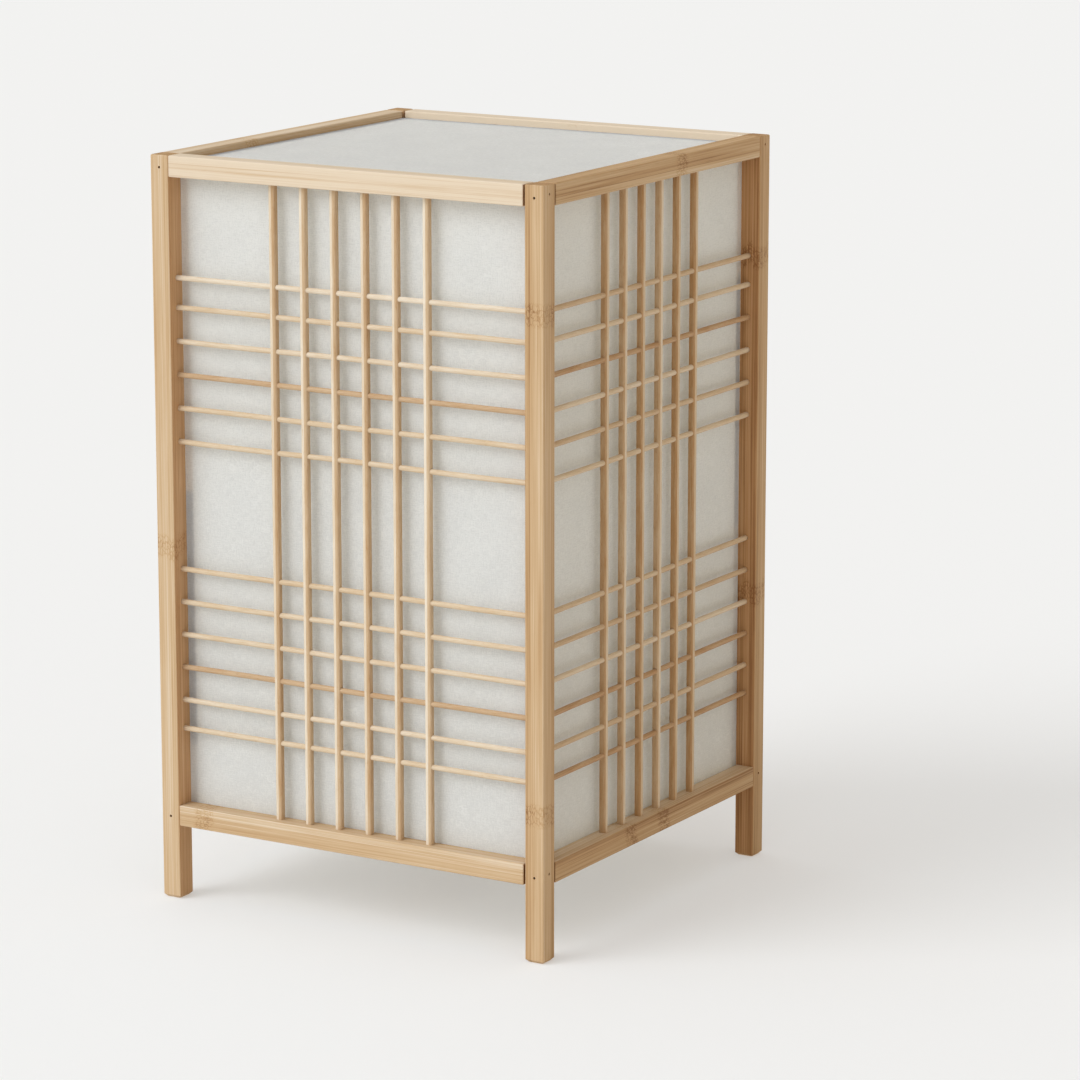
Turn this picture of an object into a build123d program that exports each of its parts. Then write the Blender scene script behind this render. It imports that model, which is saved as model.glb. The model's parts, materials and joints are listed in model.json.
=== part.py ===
from build123d import *
import os

# Andon floor lamp: a square bamboo frame on four feet, with a lattice of upright strips and
# cross rods on every side, paper sheets behind the lattice, a lamp holder and a bulb.
#
# Millimetres. +Z is up, the origin is the centre of the base on the floor, the front is -Y.
# Every side of the lamp has a plane of its own: local x runs along the side, local y is up
# and local z points outwards. Depths are measured inwards from that outer plane, so one
# function makes the same piece for all four sides.

os.makedirs("parts", exist_ok=True)

# ---------------------------------------------------------------- driving dimensions: frame
WIDTH = 340.0            # outside width, and depth, over the posts
HEIGHT = 573.0           # floor to the top of the posts
POST = 16.0              # square section of a post
POST_EDGE_R = 1.2        # eased long edges of a post, but for its inner one
FOOT_BEVEL = 2.0         # bevel round the foot of a post
TOP_BEVEL = 0.6          # bevel round the top of a post
LEG = 58.0               # floor to the underside of the bottom rails
RAIL_H = 16.0            # height of a rail
RAIL_INSET = 0.2         # face of a rail behind the face of a post
RAIL_EDGE_R = 1.0        # eased long edges of a rail
RAIL_END_BEVEL = 0.5     # bevel round the end of a rail
SHOULDER_GAP = 1.5       # open joint at the rail's loose end
TENON = 8.0              # square section of a stub tenon
TENON_WALL = 0.5         # wood left between the two tenons in one post
GLUE_GAP = 0.1           # clearance all round a tenon or a strip's end
FIT = 0.03               # radial clearance of rods, brads and threads

# ---------------------------------------------------------------- driving dimensions: brads
BRAD_D = 1.4             # shank
BRAD_RIM = 0.3           # head beyond the shank, all round
BRAD_HEAD_T = 0.8
BRAD_L = 28.0            # head to point
BRAD_POINT = 2.0         # length of the point
BRAD_TIP_D = 0.4         # blunt end of the point
BRAD_SINK = 1.5          # head below the post's face
BRAD_PASS = 0.5          # brad to the middle of its rail, where two brads pass in a post

# ---------------------------------------------------------------- driving dimensions: lattice
STRIP_W = 5.4            # upright strip, across the side
STRIP_CHEEK = 0.6        # strip in front of a rod, and behind it
STRIP_EDGE_R = 1.4       # well rounded long edges
STRIP_COUNT = 6
STRIP_PITCH = 26.7
STRIP_SEAT = 4.0         # length of a strip's end in its rail
ROD_D = 4.2              # cross rod
ROD_WALL = 0.4           # post left between the ends of two neighbouring sides' rods
GROUP_RODS = 6           # rods in the upper group, and in the lower group
ROD_PITCH = 25.5
OUTER_ROD_PITCH = 22.5   # pitch of the outermost rod of a group
UPPER_DROP = 76.5        # top rail's underside to the highest rod
LOWER_RISE = 59.5        # bottom rail's upper face to the lowest rod
LATTICE_GAP = 3.8        # back of a strip to the paper

# ---------------------------------------------------------------- driving dimensions: paper
SHEET_T = 0.6            # side sheet
TOP_SHEET_T = 0.8
TOP_RECESS = 5.5         # top sheet below the top of the frame
SHEET_GAP = 0.3          # sheet to its neighbours in the corners
BEAD = 6.0               # square bead in a corner, and square cleat under the top sheet

# ---------------------------------------------------------------- driving dimensions: cross bar
BAR_W = 40.0
BAR_T = 8.0
BAR_LAP = 10.0           # length of the bar's end in a rail
BAR_GAP = 0.2            # clearance of the bar in its rebate
SCREW_D = 3.5            # wood screw
SCREW_HEAD_RIM = 1.75    # countersunk head beyond the shank, all round
SCREW_HEAD_T = 2.0
SCREW_BITE = 4.5         # length of a screw in its rail
SCREW_PITCH = 14.0       # across the bar
SLOT_W = 0.9             # driver's slot in a screw head
SLOT_DEPTH = 0.9
SHEET_CLEAR = 0.5        # bar to the lower edge of the side sheets

# ---------------------------------------------------------------- driving dimensions: lamp holder
NIPPLE_D = 10.0          # threaded tube
NIPPLE_WALL = 1.5        # leaves the way of the cord
NIPPLE_UP = 8.0          # tube above the bar
NUT_WALL = 2.0           # hexagon nut, at its flats
NUT_T = 4.0
GRIP_WALL = 2.5          # cord grip under the nut, round the tube
GRIP_T = 8.0
CORD_ROOM = 4.0          # tube to the insulator
CAP_WALL = 2.0
CAP_FLOOR = 3.0
CAP_LEDGE_W = 3.0        # ledge that the insulator lies on
FLANGE_T = 4.0           # insulator's flange
HUB_GAP = 0.95           # insulator's hub in the sleeve
HUB_H = 9.0
SPIGOT_GAP = 0.2         # insulator and shell in the cap
SPIGOT_WALL = 1.8
SPIGOT_H = 6.0           # length of the shell in the cap
SHELL_CLEAR = 1.05       # shell to the sleeve
SHELL_LIP = 2.5          # thickness of the lip at the shell's mouth
SLEEVE_WALL = 0.5        # threaded sleeve
SLEEVE_DROP = 0.4        # sleeve below the bulb's housing
CONTACT_L = 16.0
CONTACT_W = 6.0
CONTACT_T = 0.6
CONTACT_RISE = 1.5       # top of the contact's button above the hub
TERMINAL_D = 3.0
TERMINAL_RIM = 1.3       # head beyond the shank, all round
TERMINAL_HEAD_T = 2.0
TERMINAL_L = 8.0
TERMINAL_PITCH = 16.0

# ---------------------------------------------------------------- driving dimensions: bulb
TIP_D = 9.0
TIP_T = 0.8
CAP_INSULATOR_H = 3.0
SCREW_CAP_D = 26.2       # over the thread's crests
THREAD_DEPTH = 0.7
THREAD_PITCH = 3.62
THREAD_TURNS = 5
SCREW_CAP_RIM = 4.0      # plain rim above the thread
SLEEVE_GAP = 0.35        # thread's crests to the holder's sleeve
HOUSING_NECK = 6.0       # straight part of the housing, through the holder's mouth
MOUTH_DROP = 2.4         # holder's mouth below the end of that neck
HOUSING_H = 32.0
HOUSING_TOP_D = 43.0
GLOBE_D = 60.0
GLOBE_WALL = 1.0
GLOBE_SEAT = 1.0         # edge of the globe inside the housing's rim
BOARD_GAP = 2.0          # board to the globe
BOARD_T = 1.6

# ---------------------------------------------------------------- places worked out from them
half = WIDTH / 2
inner = half - POST
bottom_rail_z = LEG + RAIL_H / 2
top_rail_z = HEIGHT - RAIL_H / 2
rail_z = {"bottom": bottom_rail_z, "top": top_rail_z}
opening_low = LEG + RAIL_H
opening_high = HEIGHT - RAIL_H
strip_d = ROD_D + 2 * STRIP_CHEEK
lattice_depth = POST - LATTICE_GAP - strip_d / 2
rod_seat = POST - lattice_depth - ROD_D / 2 - ROD_WALL
tenon_length = (POST - TENON) / 2 - TENON_WALL
brad_z = BRAD_D / 2 + BRAD_PASS
brad_head_r = BRAD_D / 2 + BRAD_RIM
bar_top = LEG + BAR_T
sheet_low = bar_top + SHEET_CLEAR
top_sheet_z = HEIGHT - TOP_RECESS - TOP_SHEET_T
cleat_z = top_sheet_z - BEAD
inside = inner - SHEET_T


def group_heights(first, step):
    """Heights of one group of rods, from its outermost rod towards the lamp's middle."""
    heights = [first, first + step * OUTER_ROD_PITCH]
    for _ in range(GROUP_RODS - 2):
        heights.append(heights[-1] + step * ROD_PITCH)
    return heights


rod_groups = {
    "upper": group_heights(opening_high - UPPER_DROP, -1),
    "lower": group_heights(opening_low + LOWER_RISE, 1),
}
rod_heights = rod_groups["upper"] + rod_groups["lower"]

# One plane for each side. loose_end is the end of its rails whose shoulder stands open, as
# local x: both rails of the front right post, and of the back left post opposite, are loose.
side_planes = {
    "front": Plane(origin=(0, -half, 0), x_dir=(1, 0, 0), z_dir=(0, -1, 0)),
    "right": Plane(origin=(half, 0, 0), x_dir=(0, 1, 0), z_dir=(1, 0, 0)),
    "back": Plane(origin=(0, half, 0), x_dir=(-1, 0, 0), z_dir=(0, 1, 0)),
    "left": Plane(origin=(-half, 0, 0), x_dir=(0, -1, 0), z_dir=(-1, 0, 0)),
}
loose_end = {"front": 1, "right": -1, "back": 1, "left": -1}
brad_shift = {"front": brad_z, "right": -brad_z, "back": brad_z, "left": -brad_z}

# A post stands at the end (local x) of two sides.
posts = {
    "front_left": ((-1, -1), (("front", -1), ("left", 1))),
    "front_right": ((1, -1), (("front", 1), ("right", -1))),
    "back_right": ((1, 1), (("back", -1), ("right", 1))),
    "back_left": ((-1, 1), (("back", 1), ("left", -1))),
}


def along(side, x, depth):
    """Plane across a side, for what runs along it. Its own x is the height, its y is outwards."""
    plane = side_planes[side]
    origin = plane.from_local_coords((x, 0, -depth))
    return Plane(origin=origin, x_dir=plane.y_dir, z_dir=plane.x_dir)


def level(side, z, depth):
    """Horizontal plane at height z, turned with the side. Its own y is inwards."""
    plane = side_planes[side]
    origin = plane.from_local_coords((0, z, -depth))
    return Plane(origin=origin, x_dir=plane.x_dir, z_dir=plane.y_dir)


def save(piece, node):
    """Labels a finished piece and writes its STEP file."""
    piece.part.label = node
    export_step(piece.part, f"parts/{node}.step")


def shoulder(side, end):
    """Local x of a rail's shoulder at one end of a side."""
    gap = SHOULDER_GAP if end == loose_end[side] else 0.0
    return end * (inner - gap)


# ---------------------------------------------------------------- posts
def post_section(corner, size):
    """Eased corners, but a sharp one inside the frame, where two side sheets meet the post."""
    RectangleRounded(size, size, POST_EDGE_R)
    with Locations((-corner[0] * size / 4, -corner[1] * size / 4)):
        Rectangle(size / 2, size / 2)


def make_post(corner, ends):
    """A post with its foot bevel, mortises, brad holes and blind holes for the rods."""
    spot = (corner[0] * (half - POST / 2), corner[1] * (half - POST / 2))
    foot = POST - 2 * FOOT_BEVEL
    crown = POST - 2 * TOP_BEVEL
    with BuildPart() as post:
        with BuildSketch(Plane.XY):
            with Locations(spot):
                post_section(corner, foot)
        with BuildSketch(Plane.XY.offset(FOOT_BEVEL)):
            with Locations(spot):
                post_section(corner, POST)
        loft(ruled=True)
        with BuildSketch(Plane.XY.offset(FOOT_BEVEL)):
            with Locations(spot):
                post_section(corner, POST)
        extrude(amount=HEIGHT - FOOT_BEVEL - TOP_BEVEL)
        with BuildSketch(Plane.XY.offset(HEIGHT - TOP_BEVEL)):
            with Locations(spot):
                post_section(corner, POST)
        with BuildSketch(Plane.XY.offset(HEIGHT)):
            with Locations(spot):
                post_section(corner, crown)
        loft(ruled=True)
        for side, end in ends:
            with BuildSketch(along(side, end * inner, POST / 2)):
                with Locations(*[(z, 0) for z in rail_z.values()]):
                    Rectangle(TENON + 2 * GLUE_GAP, TENON + 2 * GLUE_GAP)
            extrude(amount=end * (tenon_length + GLUE_GAP), mode=Mode.SUBTRACT)
            with BuildSketch(along(side, end * inner, lattice_depth)):
                with Locations(*[(z, 0) for z in rod_heights]):
                    Circle(ROD_D / 2 + FIT)
            extrude(amount=end * rod_seat, mode=Mode.SUBTRACT)
            brad_heights = [(z + brad_shift[side], 0) for z in rail_z.values()]
            with BuildSketch(along(side, end * half, POST / 2)):
                with Locations(*brad_heights):
                    Circle(brad_head_r + FIT)
            extrude(amount=-end * (BRAD_SINK + BRAD_HEAD_T), mode=Mode.SUBTRACT)
            with BuildSketch(along(side, end * half, POST / 2)):
                with Locations(*brad_heights):
                    Circle(BRAD_D / 2 + FIT)
            extrude(amount=-end * POST, mode=Mode.SUBTRACT)
    return post


for name, (corner, ends) in posts.items():
    save(make_post(corner, ends), f"post_{name}")


# ---------------------------------------------------------------- rails
def make_rail(side, place):
    """A rail with stub tenons, slots for the upright strips and pilot holes for the brads."""
    z = rail_z[place]
    start = shoulder(side, -1)
    thickness = POST - RAIL_INSET
    run = Axis(origin=(0, 0, 0), direction=side_planes[side].x_dir)
    facing = 1 if place == "bottom" else -1
    with BuildPart() as rail:
        with BuildSketch(along(side, start, RAIL_INSET + thickness / 2)):
            with Locations((z, 0)):
                RectangleRounded(RAIL_H, thickness, RAIL_EDGE_R)
        extrude(amount=shoulder(side, 1) - start)
        end_faces = rail.faces().sort_by(run)
        chamfer(end_faces[0].edges() + end_faces[-1].edges(), RAIL_END_BEVEL)
        for end in (-1, 1):
            with BuildSketch(along(side, shoulder(side, end), POST / 2)):
                with Locations((z, 0)):
                    Rectangle(TENON, TENON)
            extrude(amount=end * inner + end * tenon_length - shoulder(side, end))
            with BuildSketch(along(side, end * half, POST / 2)):
                with Locations((z + brad_shift[side], 0)):
                    Circle(BRAD_D / 2 + FIT)
            extrude(amount=-end * (BRAD_SINK + BRAD_L), mode=Mode.SUBTRACT)
        with BuildSketch(level(side, z + facing * RAIL_H / 2, lattice_depth)):
            with GridLocations(STRIP_PITCH, STRIP_PITCH, STRIP_COUNT, 1):
                RectangleRounded(STRIP_W + 2 * GLUE_GAP, strip_d + 2 * GLUE_GAP, STRIP_EDGE_R)
        extrude(amount=-facing * (STRIP_SEAT + GLUE_GAP), mode=Mode.SUBTRACT)
        if place == "bottom" and side in ("front", "back"):
            with BuildSketch(level(side, LEG, POST - BAR_LAP / 2)):
                Rectangle(BAR_W + 2 * BAR_GAP, BAR_LAP)
            extrude(amount=BAR_T, mode=Mode.SUBTRACT)
            with BuildSketch(level(side, bar_top, POST - BAR_LAP / 2)):
                with GridLocations(SCREW_PITCH, SCREW_PITCH, 2, 1):
                    Circle(SCREW_D / 2 + FIT)
            extrude(amount=SCREW_BITE + GLUE_GAP, mode=Mode.SUBTRACT)
    return rail


for place in rail_z:
    for side in side_planes:
        save(make_rail(side, place), f"{place}_rail_{side}")


# ---------------------------------------------------------------- brads
# Each brad goes through a post into the end of a rail, its head sunk below the post's face.
brad_starts = []
for side, plane in side_planes.items():
    for end in (-1, 1):
        for z in rail_z.values():
            start = plane.from_local_coords((end * half, z + brad_shift[side], -POST / 2))
            brad_starts.append(Plane(origin=start, x_dir=plane.y_dir, z_dir=plane.x_dir * -end))

with BuildPart() as frame_brads:
    on_plane = (Align.CENTER, Align.CENTER, Align.MIN)
    shank_l = BRAD_L - BRAD_HEAD_T - BRAD_POINT
    with Locations(*[plane.offset(BRAD_SINK) for plane in brad_starts]):
        Cylinder(brad_head_r, BRAD_HEAD_T, align=on_plane)
    with Locations(*[plane.offset(BRAD_SINK + BRAD_HEAD_T) for plane in brad_starts]):
        Cylinder(BRAD_D / 2, shank_l, align=on_plane)
    with Locations(*[plane.offset(BRAD_SINK + BRAD_HEAD_T + shank_l) for plane in brad_starts]):
        Cone(BRAD_D / 2, BRAD_TIP_D / 2, BRAD_POINT, align=on_plane)
save(frame_brads, "frame_brads")


# ---------------------------------------------------------------- lattice
def make_strips(side):
    """Six upright strips, from rail to rail, bored for every rod that passes through them."""
    length = opening_high - opening_low + 2 * STRIP_SEAT
    with BuildPart() as strips:
        with BuildSketch(level(side, opening_low - STRIP_SEAT, lattice_depth)):
            with GridLocations(STRIP_PITCH, STRIP_PITCH, STRIP_COUNT, 1):
                RectangleRounded(STRIP_W, strip_d, STRIP_EDGE_R)
        extrude(amount=length)
        with BuildSketch(along(side, 0, lattice_depth)):
            with Locations(*[(z, 0) for z in rod_heights]):
                Circle(ROD_D / 2 + FIT)
        extrude(amount=inner, both=True, mode=Mode.SUBTRACT)
    return strips


def make_rods(side, heights):
    """One group of round rods, from a blind hole in one post to a blind hole in the next."""
    reach = inner + rod_seat - GLUE_GAP
    with BuildPart() as rods:
        with BuildSketch(along(side, -reach, lattice_depth)):
            with Locations(*[(z, 0) for z in heights]):
                Circle(ROD_D / 2)
        extrude(amount=2 * reach)
    return rods


for side in side_planes:
    save(make_strips(side), f"{side}_strips")
    for group, heights in rod_groups.items():
        save(make_rods(side, heights), f"{side}_{group}_rods")


# ---------------------------------------------------------------- paper
def make_side_sheet(side):
    """A stiff paper sheet on the inner faces of the rails. Front and back run corner to corner."""
    reach = inner if side in ("front", "back") else inside
    with BuildPart() as sheet:
        with BuildSketch(level(side, sheet_low, POST + SHEET_T / 2)):
            Rectangle(2 * reach, SHEET_T)
        extrude(amount=top_sheet_z - sheet_low)
    return sheet


for side in side_planes:
    save(make_side_sheet(side), f"paper_{side}")

with BuildPart() as paper_top:
    with BuildSketch(Plane.XY.offset(top_sheet_z)):
        Rectangle(2 * (inner - SHEET_GAP), 2 * (inner - SHEET_GAP))
    extrude(amount=TOP_SHEET_T)
save(paper_top, "paper_top")


# ---------------------------------------------------------------- beads and cleats
# A bead in each inner corner joins two side sheets. The cleats lie on the beads, press the
# sheets against the top rails and carry the top sheet.
def make_corner_bead(corner):
    """A square bead in one inner corner, from the sheets' lower edge to the cleats."""
    spot = (corner[0] * (inside - BEAD / 2), corner[1] * (inside - BEAD / 2))
    with BuildPart() as bead:
        with BuildSketch(Plane.XY.offset(sheet_low)):
            with Locations(spot):
                Rectangle(BEAD, BEAD)
        extrude(amount=cleat_z - sheet_low)
    return bead


def make_top_cleat(side):
    """A square cleat under one edge of the top sheet. Front and back run full length."""
    reach = inside if side in ("front", "back") else inside - BEAD
    with BuildPart() as cleat:
        with BuildSketch(level(side, cleat_z, POST + SHEET_T + BEAD / 2)):
            Rectangle(2 * reach, BEAD)
        extrude(amount=BEAD)
    return cleat


for name, (corner, ends) in posts.items():
    save(make_corner_bead(corner), f"corner_bead_{name}")
for side in side_planes:
    save(make_top_cleat(side), f"top_cleat_{side}")

# ---------------------------------------------------------------- cross bar
# The bar lies from front to back in rebates under the bottom rails, screwed from below.
below_plane = (Align.CENTER, Align.CENTER, Align.MAX)
bar_reach = half - POST + BAR_LAP - BAR_GAP
screw_y = half - POST + BAR_LAP / 2
screw_planes = [Plane(origin=(0, y, LEG), z_dir=(0, 0, -1)) for y in (-screw_y, screw_y)]
screw_r = SCREW_D / 2
screw_head_r = screw_r + SCREW_HEAD_RIM

with BuildPart() as cross_bar:
    with BuildSketch(Plane.XY.offset(LEG)):
        Rectangle(BAR_W, 2 * bar_reach)
    extrude(amount=BAR_T)
    with Locations((0, 0, bar_top)):
        Hole(NIPPLE_D / 2 + FIT)
    for plane in screw_planes:
        with Locations(plane):
            with GridLocations(SCREW_PITCH, SCREW_PITCH, 2, 1):
                Hole(screw_r + FIT)
                Cone(
                    screw_r + FIT,
                    screw_head_r + FIT,
                    SCREW_HEAD_T,
                    align=below_plane,
                    mode=Mode.SUBTRACT,
                )
save(cross_bar, "cross_bar")

with BuildPart() as bar_screws:
    for plane in screw_planes:
        with Locations(plane):
            with GridLocations(SCREW_PITCH, SCREW_PITCH, 2, 1):
                Cone(screw_r, screw_head_r, SCREW_HEAD_T, align=below_plane)
                Cylinder(screw_r, BAR_T + SCREW_BITE, align=below_plane)
                Box(2 * screw_head_r, SLOT_W, SLOT_DEPTH, align=below_plane, mode=Mode.SUBTRACT)
save(bar_screws, "bar_screws")


# ---------------------------------------------------------------- lamp holder
# The holder is built round the bulb's screw cap: sleeve, shell and cap follow its size.
def ring(outer_r, inner_r, z, height):
    """Adds a ring about the lamp's axis to the piece that is being built."""
    with BuildSketch(Plane.XY.offset(z)) as outline:
        Circle(outer_r)
        if inner_r > 0:
            Circle(inner_r, mode=Mode.SUBTRACT)
    extrude(outline.sketch, amount=height)


def rims(piece, level_index):
    """Circular edges of a piece at its lowest (0) or highest (-1) level, smallest first."""
    circles = piece.edges().filter_by(GeomType.CIRCLE)
    return circles.group_by(Axis.Z)[level_index].sort_by(SortBy.RADIUS)


cap_r = SCREW_CAP_D / 2
root_r = cap_r - THREAD_DEPTH
sleeve_r = cap_r + SLEEVE_GAP
sleeve_outer_r = sleeve_r + SLEEVE_WALL
shell_bore_r = sleeve_outer_r + SHELL_CLEAR
spigot_r = shell_bore_r + SPIGOT_WALL
cap_bore_r = spigot_r + SPIGOT_GAP
holder_r = cap_bore_r + CAP_WALL
nipple_r = NIPPLE_D / 2
cord_r = nipple_r - NIPPLE_WALL
nut_low = LEG - NUT_T
nipple_low = nut_low - GRIP_T / 2
nipple_top = bar_top + NIPPLE_UP
ledge_z = nipple_top + CORD_ROOM
flange_top = ledge_z + FLANGE_T
hub_top = flange_top + HUB_H
cap_top = flange_top + SPIGOT_H
tip_z = hub_top + CONTACT_RISE
insulator_z = tip_z + TIP_T
screw_cap_z = insulator_z + CAP_INSULATOR_H
rim_z = screw_cap_z + THREAD_TURNS * THREAD_PITCH
housing_z = rim_z + SCREW_CAP_RIM
neck_z = housing_z + HOUSING_NECK
mouth_z = neck_z - MOUTH_DROP

with BuildPart() as holder_nipple:
    ring(nipple_r, cord_r, nipple_low, nipple_top - nipple_low)
save(holder_nipple, "holder_nipple")

with BuildPart() as holder_nut:
    with BuildSketch(Plane.XY.offset(nut_low)):
        RegularPolygon(nipple_r + NUT_WALL, 6, major_radius=False)
        Circle(nipple_r + FIT, mode=Mode.SUBTRACT)
    extrude(amount=NUT_T)
save(holder_nut, "holder_nut")

with BuildPart() as cord_grip:
    ring(nipple_r + GRIP_WALL, cord_r, nut_low - GRIP_T, GRIP_T / 2)
    ring(nipple_r + GRIP_WALL, nipple_r + FIT, nipple_low, GRIP_T / 2)
    fillet(rims(cord_grip, 0)[-1], GRIP_WALL / 2)
save(cord_grip, "cord_grip")

with BuildPart() as holder_cap:
    ring(holder_r, nipple_r + FIT, bar_top, CAP_FLOOR)
    ring(holder_r, cap_bore_r - CAP_LEDGE_W, bar_top + CAP_FLOOR, ledge_z - bar_top - CAP_FLOOR)
    ring(holder_r, cap_bore_r, ledge_z, cap_top - ledge_z)
    fillet(rims(holder_cap, 0)[-1], CAP_WALL)
save(holder_cap, "holder_cap")

with BuildPart() as holder_insulator:
    ring(spigot_r, 0, ledge_z, FLANGE_T)
    ring(sleeve_r - HUB_GAP, 0, flange_top, HUB_H)
    with Locations((0, 0, ledge_z)):
        with GridLocations(TERMINAL_PITCH, TERMINAL_PITCH, 1, 2):
            Cylinder(TERMINAL_D / 2 + FIT, TERMINAL_L, align=on_plane, mode=Mode.SUBTRACT)
save(holder_insulator, "holder_insulator")

with BuildPart() as terminal_screws:
    with Locations((0, 0, ledge_z)):
        with GridLocations(TERMINAL_PITCH, TERMINAL_PITCH, 1, 2):
            Cylinder(TERMINAL_D / 2 + TERMINAL_RIM, TERMINAL_HEAD_T, align=below_plane)
            Cylinder(TERMINAL_D / 2, TERMINAL_L - GLUE_GAP, align=on_plane)
save(terminal_screws, "terminal_screws")

with BuildPart() as thread_sleeve:
    ring(sleeve_outer_r, sleeve_r, flange_top, housing_z - SLEEVE_DROP - flange_top)
save(thread_sleeve, "thread_sleeve")

with BuildPart() as centre_contact:
    with BuildSketch(Plane.XY.offset(hub_top)):
        SlotOverall(CONTACT_L, CONTACT_W)
    extrude(amount=CONTACT_T)
    ring(CONTACT_W / 2, 0, hub_top, CONTACT_RISE)
save(centre_contact, "centre_contact")

with BuildPart() as holder_shell:
    lip_z = mouth_z - SHELL_LIP
    ring(spigot_r, shell_bore_r, flange_top, SPIGOT_H)
    ring(holder_r, shell_bore_r, cap_top, lip_z - cap_top)
    ring(holder_r, sleeve_outer_r + SPIGOT_GAP, lip_z, SHELL_LIP)
    fillet(rims(holder_shell, -1)[-1], SHELL_LIP / 2)
save(holder_shell, "holder_shell")

# ---------------------------------------------------------------- bulb
globe_z = housing_z + HOUSING_H
globe_r = GLOBE_D / 2
globe_edge_r = HOUSING_TOP_D / 2 - GLOBE_SEAT
centre_z = globe_z + (globe_r**2 - globe_edge_r**2) ** 0.5
globe_mouth_r = ((globe_r - GLOBE_WALL) ** 2 - (centre_z - globe_z) ** 2) ** 0.5

with BuildPart() as bulb_tip:
    ring(TIP_D / 2, 0, tip_z, TIP_T)
save(bulb_tip, "bulb_tip")

with BuildPart() as bulb_cap_insulator:
    with BuildSketch(Plane.XY.offset(insulator_z)):
        Circle(TIP_D / 2)
    with BuildSketch(Plane.XY.offset(screw_cap_z)):
        Circle(root_r)
    loft()
save(bulb_cap_insulator, "bulb_cap_insulator")

# The cap's thread is a rolled wave: one rounded crest to each turn.
with BuildPart() as bulb_screw_cap:
    with BuildSketch(Plane.XZ):
        with BuildLine():
            Line((0, screw_cap_z), (root_r, screw_cap_z))
            for turn in range(THREAD_TURNS):
                low = screw_cap_z + turn * THREAD_PITCH
                crest = (cap_r, low + THREAD_PITCH / 2)
                ThreePointArc((root_r, low), crest, (root_r, low + THREAD_PITCH))
            Polyline((root_r, rim_z), (cap_r, rim_z), (cap_r, housing_z), (0, housing_z))
            Line((0, housing_z), (0, screw_cap_z))
        make_face()
    revolve(axis=Axis.Z)
save(bulb_screw_cap, "bulb_screw_cap")

with BuildPart() as bulb_housing:
    ring(cap_r, 0, housing_z, HOUSING_NECK)
    with BuildSketch(Plane.XY.offset(neck_z)):
        Circle(cap_r)
    with BuildSketch(Plane.XY.offset(globe_z)):
        Circle(HOUSING_TOP_D / 2)
    loft()
save(bulb_housing, "bulb_housing")

with BuildPart() as bulb_board:
    ring(globe_mouth_r - BOARD_GAP, 0, globe_z, BOARD_T)
save(bulb_board, "bulb_board")

with BuildPart() as bulb_globe:
    with Locations((0, 0, centre_z)):
        Sphere(globe_r)
        Sphere(globe_r - GLOBE_WALL, mode=Mode.SUBTRACT)
    split(bisect_by=Plane.XY.offset(globe_z), keep=Keep.TOP)
save(bulb_globe, "bulb_globe")

print("lamp", WIDTH, "x", WIDTH, "x", HEIGHT, "mm")
print("rods at", rod_heights)
print("way of the cord, diameter", 2 * cord_r, "from", nut_low - GRIP_T, "to", nipple_top)
print("bulb from", round(tip_z, 2), "to", round(centre_z + globe_r, 2), "mouth at", round(mouth_z, 2))
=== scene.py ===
# %% [markdown]
# # A paper floor lamp
# The lamp is a square bamboo frame on four feet. Each side has a lattice of upright strips and
# round cross rods, and sheets of fibrous paper are stretched behind it and in the top.
# The solids come from the CAD part, which is loaded as a fixed frame. This script gives every
# solid its finish and makes again, in more detail, the pieces that a plain solid can't show:
# the paper, and the lattice with its small irregularities.

# %% Load the frame
import json
import math

import bpy
from mathutils import Matrix, Vector

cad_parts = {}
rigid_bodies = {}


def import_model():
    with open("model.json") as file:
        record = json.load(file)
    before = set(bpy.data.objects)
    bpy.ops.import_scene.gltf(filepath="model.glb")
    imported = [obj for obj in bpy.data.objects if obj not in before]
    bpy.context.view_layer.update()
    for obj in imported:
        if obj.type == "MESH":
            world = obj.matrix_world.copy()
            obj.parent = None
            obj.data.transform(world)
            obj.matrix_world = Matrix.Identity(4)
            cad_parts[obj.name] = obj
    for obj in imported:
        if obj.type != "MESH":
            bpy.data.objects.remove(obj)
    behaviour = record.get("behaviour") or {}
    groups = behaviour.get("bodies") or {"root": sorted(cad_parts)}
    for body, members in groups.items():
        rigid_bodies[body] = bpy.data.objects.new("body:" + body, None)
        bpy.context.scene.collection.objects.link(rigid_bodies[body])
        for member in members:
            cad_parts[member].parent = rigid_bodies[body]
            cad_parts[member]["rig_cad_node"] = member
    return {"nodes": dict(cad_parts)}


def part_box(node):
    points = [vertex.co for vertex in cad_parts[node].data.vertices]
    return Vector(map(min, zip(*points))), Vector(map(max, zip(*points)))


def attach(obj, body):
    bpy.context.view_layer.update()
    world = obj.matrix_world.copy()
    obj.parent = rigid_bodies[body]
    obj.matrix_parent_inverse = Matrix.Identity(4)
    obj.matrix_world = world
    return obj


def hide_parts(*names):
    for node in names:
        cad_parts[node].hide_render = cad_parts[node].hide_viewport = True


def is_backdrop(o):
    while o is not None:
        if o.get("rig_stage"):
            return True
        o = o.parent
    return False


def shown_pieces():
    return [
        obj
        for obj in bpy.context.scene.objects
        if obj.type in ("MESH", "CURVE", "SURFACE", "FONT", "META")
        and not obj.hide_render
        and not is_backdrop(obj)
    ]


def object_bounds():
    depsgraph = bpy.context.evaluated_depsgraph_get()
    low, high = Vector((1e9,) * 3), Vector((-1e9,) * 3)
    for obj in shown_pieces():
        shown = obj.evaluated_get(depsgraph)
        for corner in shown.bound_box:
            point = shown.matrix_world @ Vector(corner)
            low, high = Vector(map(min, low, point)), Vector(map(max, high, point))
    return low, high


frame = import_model()
nodes = frame["nodes"]
cad_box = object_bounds()
MM = 0.001
print("frame:", len(nodes), "solids, box in mm", [[round(v / MM, 1) for v in c] for c in cad_box])

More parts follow.
